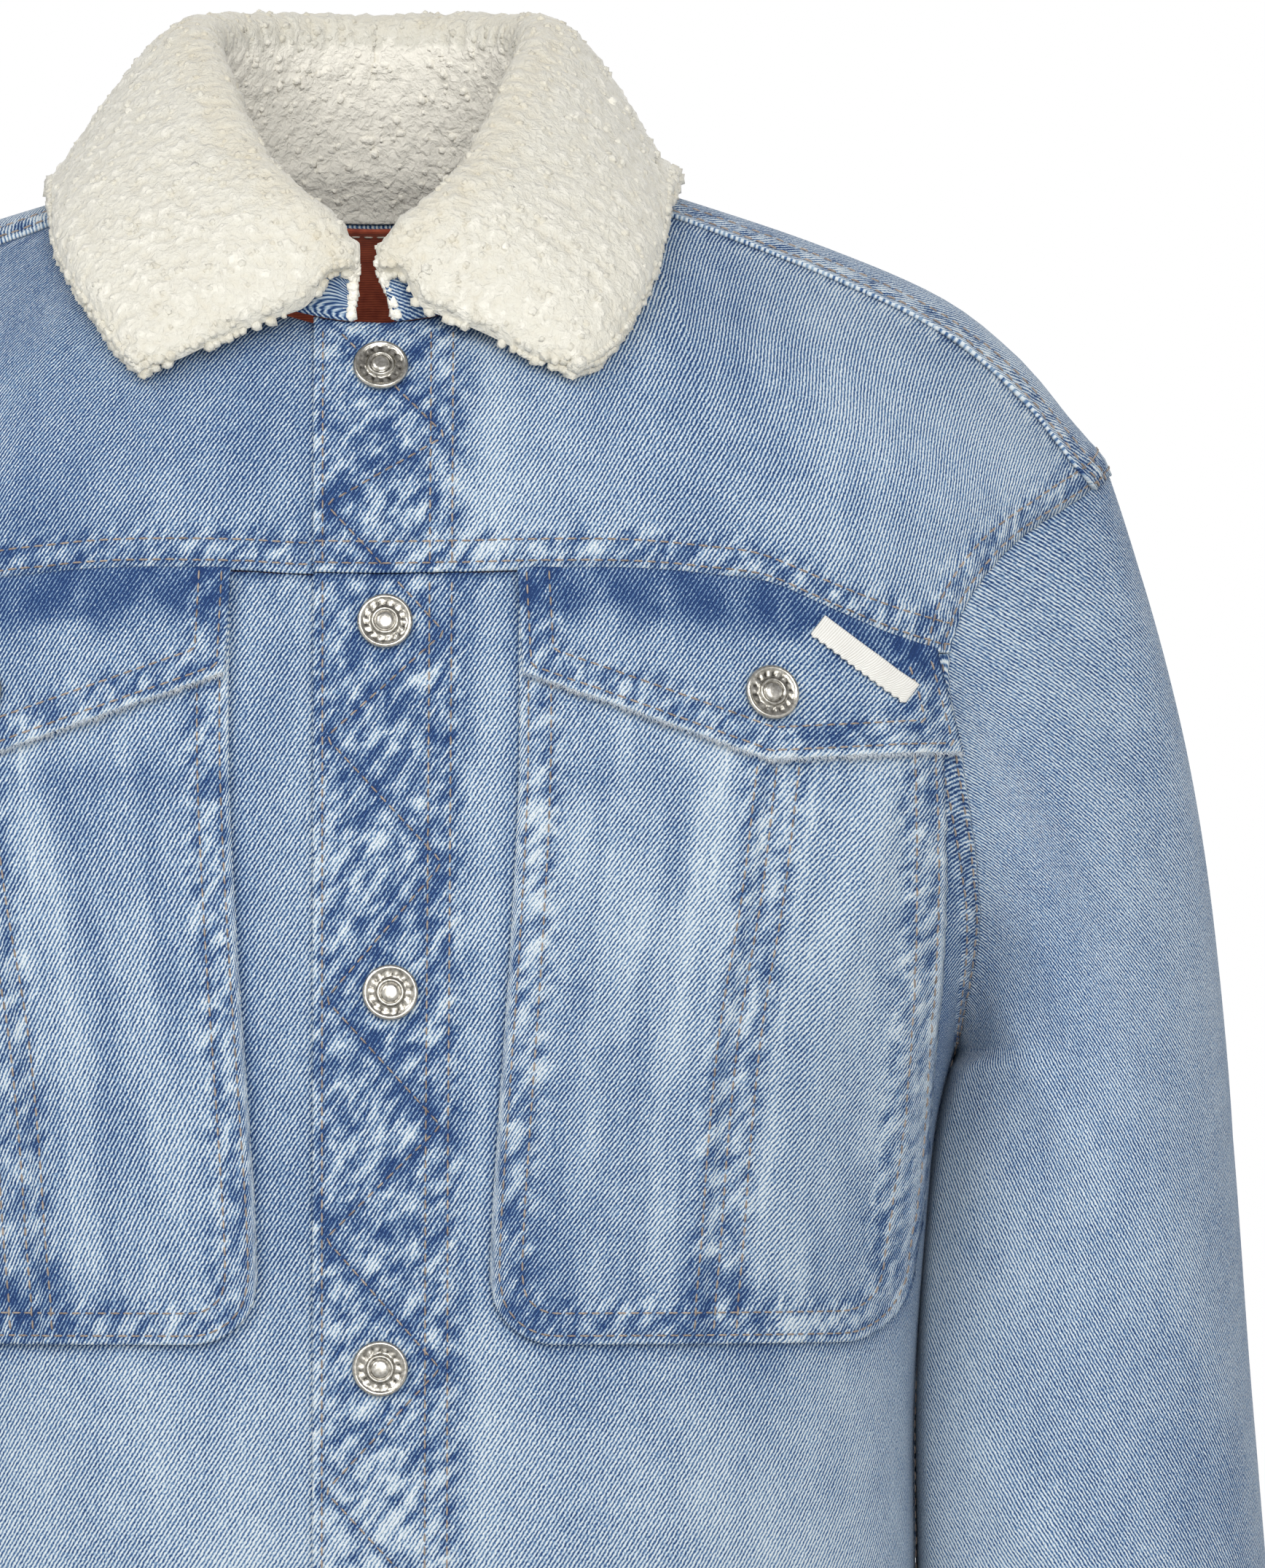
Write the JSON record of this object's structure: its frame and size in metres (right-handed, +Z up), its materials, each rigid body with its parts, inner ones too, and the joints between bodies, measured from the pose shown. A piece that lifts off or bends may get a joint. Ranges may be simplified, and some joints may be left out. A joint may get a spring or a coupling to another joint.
{
  "type": "sherpa lined denim jacket",
  "caption": "Waist-length denim jacket with a pile collar, buttoned front, yoke and flapped chest pockets, worn form and hollow",
  "frame": {"origin": "middle of the neck base between the shoulders, where the wearer holds the jacket up", "axes": "+Z up, the front faces -Y, the wearer's left is +X"},
  "size_m": [0.571, 0.2586, 0.6771],
  "materials": {
    "denim": "light washed cotton twill, faded along seams",
    "sherpa": "cream curled pile",
    "lining": "rust brown woven lining",
    "buttons": "worn nickel silver tack buttons with plain rims",
    "tape": "bare white woven tape"
  },
  "bodies": {
    "root": {"front_yoke_left": "denim", "front_yoke_right": "denim", "front_left": "denim", "front_right": "denim", "back_yoke": "denim", "back": "denim", "back_lining": "lining", "waistband": "denim", "sleeve_left": "denim", "sleeve_right": "denim", "cuff_left": "denim", "cuff_right": "denim", "cuff_button_left": "buttons", "cuff_button_right": "buttons", "collar": "sherpa", "under_collar": "denim", "pocket_left": "denim", "pocket_right": "denim", "flap_left": "denim", "flap_right": "denim", "flap_button_left": "buttons", "flap_button_right": "buttons", "label": "tape", "button_1": "buttons", "button_2": "buttons", "button_3": "buttons", "button_4": "buttons", "button_5": "buttons", "waistband_button": "buttons"}
  },
  "joints": []
}
